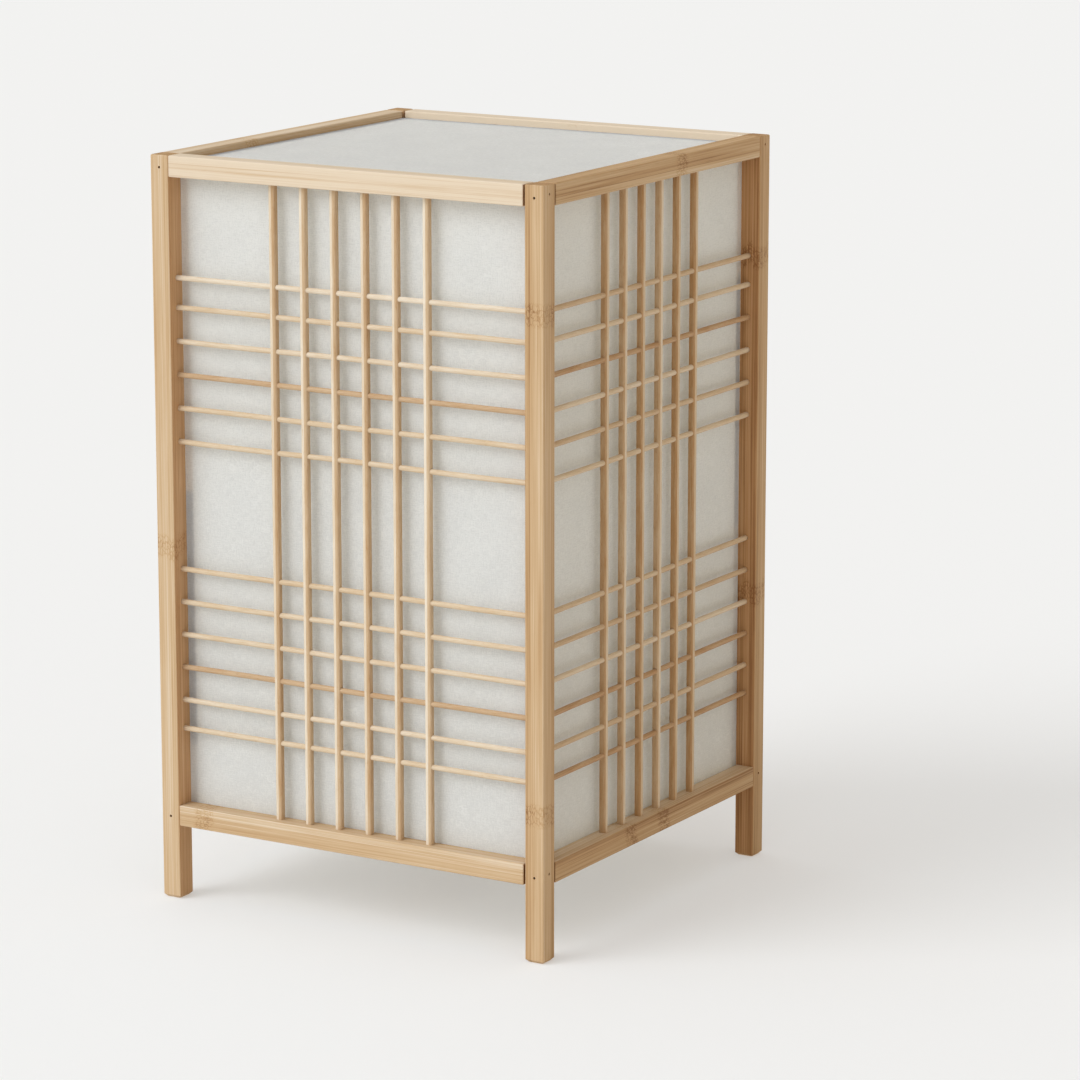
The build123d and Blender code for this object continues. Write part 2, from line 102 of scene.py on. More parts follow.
# %% [markdown]
# ## Camera
# A product is usually seen from a little above and from one corner, with a long lens, which keeps
# the posts nearly upright and parallel. `back` points from the lamp to the camera, which is moved
# a little sideways and down in its own plane, so that its view needs no shift.

# %% Camera
CAMERA_TURN = math.radians(30.81)
CAMERA_RISE = math.radians(12.32)
CAMERA_AWAY = 3.4167
CAMERA_ASIDE = 0.0563
CAMERA_DOWN = 0.0189
LENS = 148.2

back = Vector((
    math.sin(CAMERA_TURN) * math.cos(CAMERA_RISE),
    -math.cos(CAMERA_TURN) * math.cos(CAMERA_RISE),
    math.sin(CAMERA_RISE),
))
right = Vector((0, 0, 1)).cross(back).normalized()
up = back.cross(right)
middle = (cad_box[0] + cad_box[1]) / 2

camera_data = bpy.data.cameras.new("camera")
camera_data.lens = LENS
camera_data.clip_end = 200
camera = bpy.data.objects.new("camera", camera_data)
bpy.context.scene.collection.objects.link(camera)
camera.location = middle + back * CAMERA_AWAY + right * CAMERA_ASIDE - up * CAMERA_DOWN
camera.rotation_euler = (-back).to_track_quat("-Z", "Y").to_euler()
bpy.context.scene.camera = camera
bpy.context.scene.view_settings.view_transform = "Standard"
print("camera at", [round(v, 3) for v in camera.location])

# %% [markdown]
# ## Nodes from expressions
# Materials and Geometry Nodes are both trees of nodes. Wiring them by hand takes a dozen lines
# for one sum, so a small class wraps a socket: adding, multiplying or comparing two of them adds
# the Math node that does it, and `1 - mask` reads as it would on paper. Every other node comes
# from one method, which takes the node's type, its settings and what goes into its sockets.

# %% A socket that can be used in sums
class Value:
    """What comes out of a node."""

    def __init__(self, tree, socket):
        self.tree = tree
        self.socket = socket

    def math(self, operation, *values):
        return self.tree.node("ShaderNodeMath", {"operation": operation}, values)

    def __add__(self, other):
        return self.math("ADD", self, other)

    def __sub__(self, other):
        return self.math("SUBTRACT", self, other)

    def __rsub__(self, other):
        return self.math("SUBTRACT", other, self)

    def __mul__(self, other):
        return self.math("MULTIPLY", self, other)

    def __truediv__(self, other):
        return self.math("DIVIDE", self, other)

    def __abs__(self):
        return self.math("ABSOLUTE", self)

    def at_least(self, other):
        return self.math("MAXIMUM", self, other)

    def at_most(self, other):
        return self.math("MINIMUM", self, other)

    def whole(self):
        return self.math("FLOOR", self)

    def same_as(self, other):
        return self.math("COMPARE", self, other, 0.5)

    def rise(self, low, high):
        """0 at low and 1 at high, smooth in between."""
        settings = {"interpolation_type": "SMOOTHSTEP"}
        sockets = {"Value": self, "From Min": low, "From Max": high}
        return self.tree.node("ShaderNodeMapRange", settings, sockets)

    __radd__ = __add__


# %% A tree that nodes are added to
class Tree:
    """Adds nodes to a node tree and wires them up."""

    def __init__(self, node_tree):
        self.nodes = node_tree.nodes
        self.links = node_tree.links

    def fill(self, socket, value):
        """Links a Value, links each one of a list, or sets a constant."""
        if isinstance(value, Value):
            self.links.new(value.socket, socket)
        elif isinstance(value, list):
            for one in value:
                self.links.new(one.socket, socket)
        elif socket.type == "RGBA":
            socket.default_value = (*value, 1)
        else:
            socket.default_value = value

    def node(self, kind, settings=None, sockets=(), out=0):
        """Adds a node. Sockets go in by name or in order; out is the output's number or name."""
        made = self.nodes.new(kind)
        for name, value in (settings or {}).items():
            if name == "stops":
                self.set_stops(made.color_ramp, value)
            else:
                setattr(made, name, value)
        ready = [s for s in made.inputs if s.enabled]
        if isinstance(sockets, dict):
            sockets = {next(s for s in ready if s.name == n): v for n, v in sockets.items()}
        else:
            sockets = dict(zip(ready, sockets))
        for socket, value in sockets.items():
            self.fill(socket, value)
        results = [s for s in made.outputs if s.enabled]
        if isinstance(out, str):
            return Value(self, next(s for s in results if s.name == out))
        return Value(self, results[out]) if results else made

    def set_stops(self, ramp, stops):
        while len(ramp.elements) < len(stops):
            ramp.elements.new(1)
        for element, (place, colour) in zip(ramp.elements, stops):
            element.position = place
            element.color = (*colour, 1)

    def vector(self, x, y, z):
        return self.node("ShaderNodeCombineXYZ", None, (x, y, z))

    def parts(self, vector):
        split = self.node("ShaderNodeSeparateXYZ", None, (vector,)).socket.node
        return [Value(self, s) for s in split.outputs]

    def noise(self, x, y, z, detail=2.0, roughness=0.5, out="Fac"):
        """Smooth noise that changes over about one unit of x, y and z."""
        sockets = {
            "Vector": self.vector(x, y, z),
            "Scale": 1.0,
            "Detail": detail,
            "Roughness": roughness,
        }
        return self.node("ShaderNodeTexNoise", None, sockets, out)


# %% [markdown]
# ## Finishes
# A material is a Principled shader with a tree in front of it. `Finish` starts one, and gives the
# place on the piece in millimetres, so that a pattern can be written at its real size. The colours
# are written as reflectance, from 0 to 1, as the light in this scene shows a colour about as it is.

# %% A finish and what it reads
class Finish(Tree):
    """A procedural material around one Principled shader."""

    def __init__(self, name):
        self.material = bpy.data.materials.new(name)
        self.material.use_nodes = True
        super().__init__(self.material.node_tree)
        self.nodes.clear()

    def place(self):
        """x, y and z on the object, in millimetres."""
        spot = self.node("ShaderNodeTexCoord", None, (), "Object")
        scaled = self.node("ShaderNodeVectorMath", {"operation": "SCALE"}, {"Vector": spot, "Scale": 1 / MM})
        return self.parts(scaled)

    def facing(self):
        """The x, y and z of the direction that the surface faces."""
        return self.parts(self.node("ShaderNodeTexCoord", None, (), "Normal"))

    def kept(self, name, out="Fac"):
        """A value that was stored on the mesh."""
        return self.node("ShaderNodeAttribute", {"attribute_name": name}, (), out)

    def ramp(self, value, *stops):
        return self.node("ShaderNodeValToRGB", {"stops": stops}, (value,))

    def mixed(self, share, one, other, blend="MIX"):
        settings = {"data_type": "RGBA", "blend_type": blend}
        return self.node("ShaderNodeMix", settings, {"Factor": share, "A": one, "B": other})

    def bump(self, height, depth_mm, strength=1.0):
        sockets = {"Height": height, "Distance": depth_mm * MM, "Strength": strength}
        return self.node("ShaderNodeBump", None, sockets)

    def shader(self, **sockets):
        named = {name.replace("_", " "): value for name, value in sockets.items()}
        return self.node("ShaderNodeBsdfPrincipled", None, named)

    def done(self, surface):
        out = self.nodes.new("ShaderNodeOutputMaterial")
        self.links.new(surface.socket, out.inputs["Surface"])
        return self.material


# %% [markdown]
# ## Floor and light
# The lamp stands on a plain pale floor, which lies 0.2 mm under its feet so that their ends and
# the floor aren't one face. A large soft key light at the front left gives the front its light and
# leaves the right side in shade, and a room fills the shade: its walls are warm, its ceiling is a
# little cool, and it is brighter on the key light's side. All together light the floor at about 1,
# so that a colour shows as it is written. The room looks to the camera as bright as the lit floor
# does, so the horizon can't be seen. A shadow on a white studio floor looks thin, so more than a
# third of what the camera sees of the floor is its plain colour. The floor is clear from below,
# which lets the underside be looked at, and clear within a millimetre or two of a foot, which lets
# light reach its end.

# %% Floor, room and key light
FLOOR_PAINT = (0.921, 0.919, 0.910)
FLOOR_SEEN = (0.896, 0.888, 0.871)
FLOOR_REACH = 60.0
FLOOR_DROP = 0.0002
FOOT_GAP = 0.001
SHADOW_THINNED = 0.38
WALLS = (0.61, 0.513, 0.345)
CEILING = (0.15, 0.29, 0.53)
LIGHT_SIDE = (0.163, 0.248, 0.34)
KEY_STRENGTH = 1.42
KEY_COLOUR = (0.975, 0.995, 1.02)
KEY_SIZE = math.radians(40)
KEY_RISE = math.radians(35)
KEY_TRAVEL = Vector((0.58, 0.814, -math.tan(KEY_RISE)))

floor_mesh = bpy.data.meshes.new("floor")
edge = FLOOR_REACH
corners = [(-edge, -edge), (edge, -edge), (edge, edge), (-edge, edge)]
floor_mesh.from_pydata([(x, y, -FLOOR_DROP) for x, y in corners], [], [(0, 1, 2, 3)])
floor = bpy.data.objects.new("floor", floor_mesh)
bpy.context.scene.collection.objects.link(floor)
floor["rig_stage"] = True

pale = Finish("floor_paint")
lit = pale.shader(Base_Color=FLOOR_PAINT, Roughness=0.9, Specular_IOR_Level=0.0)
plain = pale.node("ShaderNodeEmission", None, (FLOOR_SEEN, 1.0))
thinned = pale.node("ShaderNodeLightPath", None, (), "Is Camera Ray") * SHADOW_THINNED
above = pale.node("ShaderNodeMixShader", None, (thinned, lit, plain))
clear = pale.node("ShaderNodeBsdfTransparent")
from_below = pale.node("ShaderNodeNewGeometry", None, (), "Backfacing")
from_a_foot = pale.node("ShaderNodeLightPath", None, (), "Ray Length").rise(2 * FOOT_GAP, FOOT_GAP)
unseen = from_below.at_least(from_a_foot)
floor_mesh.materials.append(pale.done(pale.node("ShaderNodeMixShader", None, (unseen, above, clear))))

key_data = bpy.data.lights.new("key", "SUN")
key_data.energy = KEY_STRENGTH
key_data.color = KEY_COLOUR
key_data.angle = KEY_SIZE
key = bpy.data.objects.new("key", key_data)
bpy.context.scene.collection.objects.link(key)
key.rotation_euler = KEY_TRAVEL.to_track_quat("-Z", "Y").to_euler()

world = bpy.data.worlds.new("room")
bpy.context.scene.world = world
world.use_nodes = True
room = Tree(world.node_tree)
room.nodes.clear()
looked_at = room.node("ShaderNodeLightPath", None, (), "Is Camera Ray")
x, y, z = room.parts(room.node("ShaderNodeTexCoord", None, (), "Generated"))
to_key = -KEY_TRAVEL.xy.normalized()
keyward = x * to_key.x + y * to_key.y
upward = z.at_least(0)
add_tint = {"operation": "MULTIPLY_ADD"}
upward = room.vector(upward, upward, upward)
room_light = room.node("ShaderNodeVectorMath", add_tint, (upward, CEILING, WALLS))
keyward = room.vector(keyward, keyward, keyward)
room_light = room.node("ShaderNodeVectorMath", add_tint, (keyward, LIGHT_SIDE, room_light))
fill_light = room.node("ShaderNodeBackground", None, (room_light, 1.0))
backdrop = room.node("ShaderNodeBackground", None, (FLOOR_SEEN, 1.0))
seen = room.node("ShaderNodeMixShader", None, (looked_at, fill_light, backdrop))
room.node("ShaderNodeOutputWorld", None, (seen,))
print("floor", 2 * FLOOR_REACH, "m wide, key light from the front left")

# %% [markdown]
# ## Laminated bamboo
# The posts and rails are planed from boards of bamboo that are glued up from slats about 5 mm
# thick. Each slat has its own tone, straight brown fibres run along it, and every 20 to 40 cm a
# growth ring crosses it, where the fibres tangle into a chequered patch. The rings of neighbouring
# slats don't line up. The ends show the fibres as dots.
# A texture painted from real boards would need unwrapping and would repeat. Noise that is
# stretched along the fibres works on every face and runs round the edges as real grain does:
# `fine` and `coarse` are the fibres, `drift` is the slow change along a board, `dashes` are short
# brown flecks, and `net` is the tangle in a ring. Their sum, `depth`, goes from straw to toasted
# brown. Each piece has its own seed, its own rings and its own ripeness, which is where on that
# scale it lies. The sum also holds painted shade: the posts' faces beside the lattice are painted a
# darker, warmer brown for the shade in that recess, and the rails' shoulders, tenons and ends are
# painted dark for the shade in the joints' open gaps, so that an open joint reads as a dark line.
# Each board's upper face can also be painted lighter or darker for how the light falls on it.

# %% Bamboo for a straight frame piece
STRAW = (0.74, 0.61, 0.46)
WHEAT = (0.61, 0.43, 0.255)
HONEY = (0.49, 0.30, 0.145)
TOASTED = (0.27, 0.135, 0.055)
BOARD_MM = 16.0
SLATS = 3
SLAT_MM = BOARD_MM / SLATS
SHOULDER_MM = 152.5
RING_REACH_MM = 10.5
RING_CORE_MM = 5.5
RING_SCATTER_MM = 5
# painted shade: the next two darken and warm the posts' faces beside the lattice, for the shade in that
# recess
PAINTED_RECESS_SHADE = 0.08
RECESS_SHADE_TINT = (0.97, 0.83, 0.73)
# painted shade: darkens the rails' shoulders, tenons and ends, for the shade in the joints' open gaps
JOINT_GAP_SHADE = 0.45
X, Y, Z = 0, 1, 2


def bamboo(node, along, rings, ripeness, above, seed):
    """Bamboo whose fibres run along one axis of the node, with growth rings at these places.

    Ripeness is the whole board's, and above is painted light and shade on its upper face, for how
    the light falls on it: more than 0 darkens the face and less than 0 lightens it. one and other
    are the two ways across the fibres, in millimetres from the board's lower corner.
    """
    finish = Finish("bamboo_" + node)
    low, high = [[v / MM for v in corner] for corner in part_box(node)]
    spot = finish.place()
    facing = finish.facing()
    across = [i for i in range(3) if i != along]
    fibre = spot[along]
    one, other = [spot[i] - low[i] for i in across]

    slats = [(c / SLAT_MM).at_least(0.05).at_most(SLATS - 0.05).whole() for c in (one, other)]
    dice = {"Vector": finish.vector(slats[0], slats[1], float(seed))}
    slat_tone, slat_shift, slat_grain = finish.parts(
        finish.node("ShaderNodeTexWhiteNoise", {"noise_dimensions": "3D"}, dice, "Color")
    )
    start = slat_grain * 90 + 7.3 * seed
    fine = finish.noise(one / 0.9, other / 0.9, fibre / 130 + start, 3.0, 0.6)
    coarse = finish.noise(one / 1.5, other / 1.5, fibre / 220 + start, 2.0)
    drift = finish.noise(one / 14, other / 14, fibre / 80 + seed, 2.0)
    dashes = finish.noise(one / 0.6, other / 0.6, fibre / 11 + start, 2.0).rise(0.60, 0.74)
    bend = finish.noise(one / 3, other / 3, fibre / 6 + start, 1.0) * 1.6
    net = finish.node(
        "ShaderNodeTexVoronoi", {"feature": "DISTANCE_TO_EDGE"},
        {"Vector": finish.vector(one / 1.7 + bend, other / 1.7 + bend, fibre / 4.2), "Scale": 1.0},
    )
    strands = net.rise(0.16, 0.02)

    ring_dark = 0
    for at in rings:
        away = fibre - at + slat_shift * RING_SCATTER_MM - RING_SCATTER_MM / 2
        ticks = abs(away - 4 + bend * 2).rise(1.4, 0.4) * fine.rise(0.45, 0.6)
        near = abs(away).rise(RING_REACH_MM, RING_CORE_MM)
        ring_dark = ring_dark + near * (strands * 0.26 + ticks * 0.20)

    edges = [c.at_most(high[i] - low[i] - c) for c, i in zip((one, other), across)]
    rubbed = edges[0].at_least(edges[1]).rise(1.5, 0.3)
    inside = edges[0].at_most(edges[1]).rise(1.5, 2.0)
    # painted shade on the tenons and shoulders, for the shade in the joints' open gaps
    shaded_in_joint = inside * abs(fibre).rise(SHOULDER_MM - 0.6, SHOULDER_MM)
    depth = (
        ripeness
        + (slat_tone - 0.5) * 0.26
        + (fine - 0.5) * 0.95
        + (coarse - 0.5) * 0.70
        + (drift - 0.5) * 0.22
        + dashes * 0.08
        + ring_dark
        - rubbed * 0.05
        # painted light and shade: above darkens a board's upper face, or lightens it when below 0, for how
        # the light falls on it
        + facing[Z].rise(0.6, 0.9) * above
        + shaded_in_joint * JOINT_GAP_SHADE
    )
    # painted shade: a post's faces that look in towards the lattice are darkened, for the shade in that
    # recess
    if along == Z:
        inward = [facing[i] * (1 if low[i] < 0 else -1) for i in across]
        shaded_inner_face = inward[0].at_least(inward[1]).rise(0.6, 0.9)
        depth = depth + shaded_inner_face * PAINTED_RECESS_SHADE
    side_colour = finish.ramp(depth, (0.0, STRAW), (0.36, WHEAT), (0.68, HONEY), (1.0, TOASTED))
    # painted shade: the same inner faces are tinted a warmer brown
    if along == Z:
        side_colour = finish.mixed(shaded_inner_face, side_colour, RECESS_SHADE_TINT, "MULTIPLY")

    end = abs(facing[along]).rise(0.75, 0.95)
    dots = finish.node(
        "ShaderNodeTexVoronoi", None,
        {"Vector": finish.vector(one / 0.85, other / 0.85, float(seed)), "Scale": 1.0},
    )
    end_depth = dots.rise(0.42, 0.10) * 0.5 + slat_tone * 0.25 + 0.22 + ripeness * 0.5
    # painted shade: a rail's end faces sit in its joints and are darkened
    if along != Z:
        end_depth = end_depth + JOINT_GAP_SHADE
    end_colour = finish.ramp(end_depth, (0.0, STRAW), (0.45, HONEY), (1.0, TOASTED))
    colour = finish.mixed(end, side_colour, end_colour)
    relief = fine * (1 - end) + dots * end
    surface = finish.shader(
        Base_Color=colour,
        Roughness=fine * 0.16 + end * 0.2 + 0.40,
        Normal=finish.bump(relief, 0.03, 0.6),
        Specular_IOR_Level=0.15,
    )
    return finish.done(surface)


# %% [markdown]
# The rings are placed where the boards the lamp was made of have them: most pieces have
# one or two. The boards were picked without sorting: the front rails are pale, and the posts and
# the rails on the right are riper. Each board in the table has its axis, the places of its rings
# in mm, its ripeness, the painted light and shade on its upper face (more than 0 darkens it and
# less than 0 lightens it), and its seed.

# %% Dress the posts and rails
frame_boards = {
    "post_front_left": (Z, (276,), 0.40, 0.0, 3),
    "post_front_right": (Z, (111, 479), 0.54, 0.0, 5),
    "post_back_right": (Z, (215, 481), 0.69, 0.0, 8),
    "post_back_left": (Z, (190,), 0.42, 0.0, 9),
    "top_rail_front": (X, (), 0.05, -0.12, 12),
    "top_rail_right": (Y, (31,), 0.58, 0.12, 14),
    "top_rail_back": (X, (7,), -0.20, 0.0, 15),
    "top_rail_left": (Y, (-60,), 0.40, -0.16, 17),
    "bottom_rail_front": (X, (-132,), 0.36, 0.0, 21),
    "bottom_rail_right": (Y, (-41, 9), 0.66, -0.38, 23),
    "bottom_rail_back": (X, (70,), 0.42, 0.0, 24),
    "bottom_rail_left": (Y, (30,), 0.44, 0.0, 26),
}
for name, board in frame_boards.items():
    nodes[name].material_slots[0].material = bamboo(name, *board)
print("bamboo on", len(frame_boards), "posts and rails")

# %% [markdown]
# ## Geometry Nodes recipes
# The lattice and the fibres in the paper repeat a small shape by a rule, which is what Geometry
# Nodes are for. `Recipe` is such a tree with named sizes. `grow` runs it once, keeps the result as
# a plain mesh and takes the modifier away, so that nothing in the finished piece is live.

# %% A recipe and a way to run it
class Recipe(Tree):
    """A Geometry Nodes tree with named sizes."""

    def __init__(self, name):
        self.group = bpy.data.node_groups.new(name, "GeometryNodeTree")
        super().__init__(self.group)
        interface = self.group.interface
        interface.new_socket("Mesh", in_out="OUTPUT", socket_type="NodeSocketGeometry")
        self.way_in = self.nodes.new("NodeGroupInput")
        self.identifiers = {}

    def size(self, name, kind="Float"):
        """A named input of the recipe."""
        item = self.group.interface.new_socket(name, in_out="INPUT", socket_type="NodeSocket" + kind)
        self.identifiers[name] = item.identifier
        return Value(self, self.way_in.outputs[name])

    def position(self):
        return self.node("GeometryNodeInputPosition")

    def scaled(self, vector, factor):
        return self.node("ShaderNodeVectorMath", {"operation": "SCALE"}, {"Vector": vector, "Scale": factor})

    def random(self, low, high, seed):
        sockets = {"Min": low, "Max": high, "Seed": seed}
        return self.node("FunctionNodeRandomValue", {"data_type": "FLOAT"}, sockets)

    def moved(self, geometry, offset):
        return self.node("GeometryNodeSetPosition", None, {"Geometry": geometry, "Offset": offset})

    def points(self, count, position):
        line = self.node("GeometryNodeMeshLine", {"mode": "OFFSET"}, {"Count": count, "Offset": (0, 0, 0)})
        return self.node("GeometryNodeSetPosition", None, {"Geometry": line, "Position": position})

    def store(self, geometry, name, value, kind="FLOAT", domain="POINT"):
        settings = {"data_type": kind, "domain": domain}
        sockets = {"Geometry": geometry, "Name": name, "Value": value}
        return self.node("GeometryNodeStoreNamedAttribute", settings, sockets)

    def read(self, name):
        return self.node("GeometryNodeInputNamedAttribute", {"data_type": "FLOAT"}, (name,))

    def done(self, geometry):
        material = self.size("Finish", "Material")
        whole = self.node("GeometryNodeRealizeInstances", None, (geometry,))
        dressed = self.node("GeometryNodeSetMaterial", None, {"Geometry": whole, "Material": material})
        self.links.new(dressed.socket, self.nodes.new("NodeGroupOutput").inputs[0])


def grow(recipe, name, turn, **sizes):
    """Runs a recipe, turns what it made by a matrix and returns it as a plain piece."""
    piece = bpy.data.objects.new(name, bpy.data.meshes.new(name + "_start"))
    bpy.context.scene.collection.objects.link(piece)
    modifier = piece.modifiers.new("recipe", "NODES")
    modifier.node_group = recipe.group
    for size, value in sizes.items():
        modifier[recipe.identifiers[size.replace("_", " ")]] = value
    bpy.context.view_layer.update()
    depsgraph = bpy.context.evaluated_depsgraph_get()
    mesh = bpy.data.meshes.new_from_object(
        piece.evaluated_get(depsgraph), preserve_all_data_layers=True, depsgraph=depsgraph
    )
    piece.modifiers.remove(modifier)
    piece.data = mesh
    mesh.name = name
    mesh.transform(turn)
    return piece


# %% [markdown]
# ## Lattice
# The upright strips are square laths with rounded edges and a row of round holes, which the cross
# rods go through. Each lath gets painted shade: a browner band down one side of its front stands
# for the side in shade, it stops short of the rear edge, which stays pale, and the rest of the lath
# is a little paler. Each side of the lamp has its band placed its own way: on the front the band is
# half of the face, and on the other sides it is a third or less. The rods are drawn from split
# bamboo: no two have quite the same tone, one here and there is far browner than the rest, and each
# is bowed by a fraction of a millimetre. Four sides need 24 strips and 48 rods, so each is a recipe:
# a line of points, one strip or rod on each point, and random numbers from a fixed seed for what
# differs.
# The rods' heights follow a rule as well. Within a group they are one pitch apart, but the
# outermost rod is nearer to its neighbour. The section and the ends come from the CAD part's
# boxes, so the two lattices stay the same size.

# %% Bamboo of the lattice
CREAM = (0.79, 0.69, 0.56)
TAN = (0.65, 0.49, 0.32)
PALE_BESIDE_BAND = 0.18


def lattice_bamboo(name, brown, shade_band_depth):
    """Reads grain, the place along and across the fibres in mm, and tone, from the mesh.

    A lath has painted shade, a browner band down one side of its front that stands for the side
    in shade: hand says which side it is on, and the band's start value how far from the middle it
    begins.
    """
    finish = Finish(name)
    tone = finish.kept("tone")
    along, one, other = finish.parts(finish.kept("grain", "Vector"))
    start = tone * 300
    fine = finish.noise(one / 0.55 + start, other / 0.55, along / 16, 3.0, 0.65)
    patches = finish.noise(one / 9, other / 9 + start, along / 38, 2.0)
    flecks = finish.noise(one / 0.7, other / 0.7 + start, along / 3.2, 2.0).rise(0.58, 0.72)
    # painted shade: a browner band down one side of each lath's front, for the side in shade, kept off the
    # rear edge
    shaded_side = (one * finish.kept("hand") - finish.kept("shade_band")).rise(-0.5, 0.5)
    shade_band = (shaded_side * other.rise(2.2, 1.6) - PALE_BESIDE_BAND) * shade_band_depth
    depth = tone * 0.62 + (fine - 0.5) * 0.80 + (patches - 0.5) * 0.40 + flecks * 0.14 + shade_band + 0.05
    surface = finish.shader(
        Base_Color=finish.ramp(depth, (0.0, CREAM), (0.42, TAN), (1.0, brown)),
        Roughness=fine * 0.2 + 0.42,
        Normal=finish.bump(fine, 0.03, 0.6),
        Specular_IOR_Level=0.15,
    )
    return finish.done(surface)


# the laths get a painted shade band of strength 0.5, the rods none
strip_finish = lattice_bamboo("bamboo_strips", (0.44, 0.24, 0.10), 0.50)
rod_finish = lattice_bamboo("bamboo_rods", (0.43, 0.23, 0.10), 0.0)

# %% The lattice's measures
STRIP_COUNT = 6
STRIP_PITCH = 26.7 * MM
STRIP_EASED = 1.4 * MM
ROD_COUNT = 6
ROD_RADIUS = 2.1 * MM
ROD_FIT = 0.03 * MM
ROD_PITCH = 25.5 * MM
OUTER_PITCH = 22.5 * MM
ROD_BEND = 0.35 * MM
STRIP_SPREAD = 0.4
ROD_SPREAD = 0.5
BROWN_ROD = 0.9

strip_low, strip_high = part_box("front_strips")
strip_width = strip_high.x - strip_low.x - (STRIP_COUNT - 1) * STRIP_PITCH
strip_depth = strip_high.y - strip_low.y
lattice_y = (strip_low.y + strip_high.y) / 2
lowest_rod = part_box("front_lower_rods")[0].z + ROD_RADIUS
rod_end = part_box("front_upper_rods")[1]
highest_rod = rod_end.z - ROD_RADIUS
print("strips", round(strip_width / MM, 2), "x", round(strip_depth / MM, 2), "mm")


def rod_height(recipe, first, way):
    """The height of each rod of a group, counted from the outermost; way is 1 for upwards."""
    index = recipe.node("GeometryNodeInputIndex")
    return first + (index.at_most(1) * OUTER_PITCH + (index - 1).at_least(0) * ROD_PITCH) * way


# %% Recipe: upright strips with their holes
strips = Recipe("upright_strips")
low = strips.size("Low")
high = strips.size("High")
ripeness = strips.size("Ripeness")
hand = strips.size("Hand")
shade_band = strips.size("Layer")
seed = strips.size("Seed", "Int")

stem = strips.node(
    "GeometryNodeCurvePrimitiveLine", None, (strips.vector(0.0, 0.0, low), strips.vector(0.0, 0.0, high))
)
section = strips.node("GeometryNodeCurvePrimitiveQuadrilateral", None, (strip_width, strip_depth))
section = strips.node(
    "GeometryNodeFilletCurve", {"mode": "POLY"}, {"Curve": section, "Radius": STRIP_EASED, "Count": 3}
)
lath = strips.node(
    "GeometryNodeCurveToMesh", None, {"Curve": stem, "Profile Curve": section, "Fill Caps": True}
)
drill = strips.node(
    "GeometryNodeMeshCylinder", None,
    {"Vertices": 20, "Radius": ROD_RADIUS + ROD_FIT, "Depth": 4 * strip_width},
)
drill = strips.node("GeometryNodeTransform", None, {"Geometry": drill, "Rotation": (0, math.pi / 2, 0)})
rows = [
    strips.points(ROD_COUNT, strips.vector(0.0, 0.0, rod_height(strips, lowest_rod, 1))),
    strips.points(ROD_COUNT, strips.vector(0.0, 0.0, rod_height(strips, highest_rod, -1))),
]
rows = strips.node("GeometryNodeJoinGeometry", None, (rows,))
drills = strips.node("GeometryNodeInstanceOnPoints", None, {"Points": rows, "Instance": drill})
drills = strips.node("GeometryNodeRealizeInstances", None, (drills,))
lath = strips.node(
    "GeometryNodeMeshBoolean", {"operation": "DIFFERENCE", "solver": "MANIFOLD"},
    {"Mesh 1": lath, "Mesh 2": [drills]},
)
x, y, z = strips.parts(strips.scaled(strips.position(), 1 / MM))
lath = strips.store(lath, "grain", strips.vector(z, x, y), "FLOAT_VECTOR")
lath = strips.store(lath, "hand", hand)
lath = strips.store(lath, "shade_band", shade_band)
number = strips.node("GeometryNodeInputIndex")
strip_x = (number - (STRIP_COUNT - 1) / 2) * STRIP_PITCH
stand = strips.points(STRIP_COUNT, strips.vector(strip_x, lattice_y, 0.0))
strip_row = strips.node("GeometryNodeInstanceOnPoints", None, {"Points": stand, "Instance": lath})
tone = strips.random(0.0, STRIP_SPREAD, seed) + ripeness
strip_row = strips.store(strip_row, "tone", tone, domain="INSTANCE")
strips.done(strip_row)

# %% Recipe: cross rods
rods = Recipe("cross_rods")
first = rods.size("First")
way = rods.size("Way")
reach = rods.size("Reach")
browns = [rods.size("Brown rod " + number) for number in "123"]
ripeness = rods.size("Ripeness")
seed = rods.size("Seed", "Int")

rod = rods.node(
    "GeometryNodeMeshCylinder", None,
    {"Vertices": 16, "Side Segments": 48, "Radius": ROD_RADIUS, "Depth": reach * 2},
)
round_part = Value(rods, rod.socket.node.outputs["Side"])
rod = rods.node("GeometryNodeSetShadeSmooth", None, {"Geometry": rod, "Shade Smooth": round_part})
rod = rods.node("GeometryNodeTransform", None, {"Geometry": rod, "Rotation": (0, math.pi / 2, 0)})
rod = rods.store(rod, "grain", rods.scaled(rods.position(), 1 / MM), "FLOAT_VECTOR")
rungs = rods.points(ROD_COUNT, rods.vector(0.0, lattice_y, rod_height(rods, first, way)))
rod_row = rods.node("GeometryNodeInstanceOnPoints", None, {"Points": rungs, "Instance": rod})
is_brown = sum(rods.node("GeometryNodeInputIndex").same_as(brown) for brown in browns)
tone = rods.random(0.0, ROD_SPREAD, seed) * (1 - is_brown) + is_brown * BROWN_ROD + ripeness
rod_row = rods.store(rod_row, "tone", tone, domain="INSTANCE")
rod_row = rods.store(rod_row, "bend", rods.random(-1.0, 1.0, seed + 1), domain="INSTANCE")
rod_row = rods.node("GeometryNodeRealizeInstances", None, (rod_row,))
x, y, z = rods.parts(rods.position())
swing = x / reach * (1.5 * math.pi)
bow = swing.math("COSINE", swing) * rods.read("bend")
rod_row = rods.moved(rod_row, rods.vector(0.0, 0.0, bow * ROD_BEND))
rods.done(rod_row)

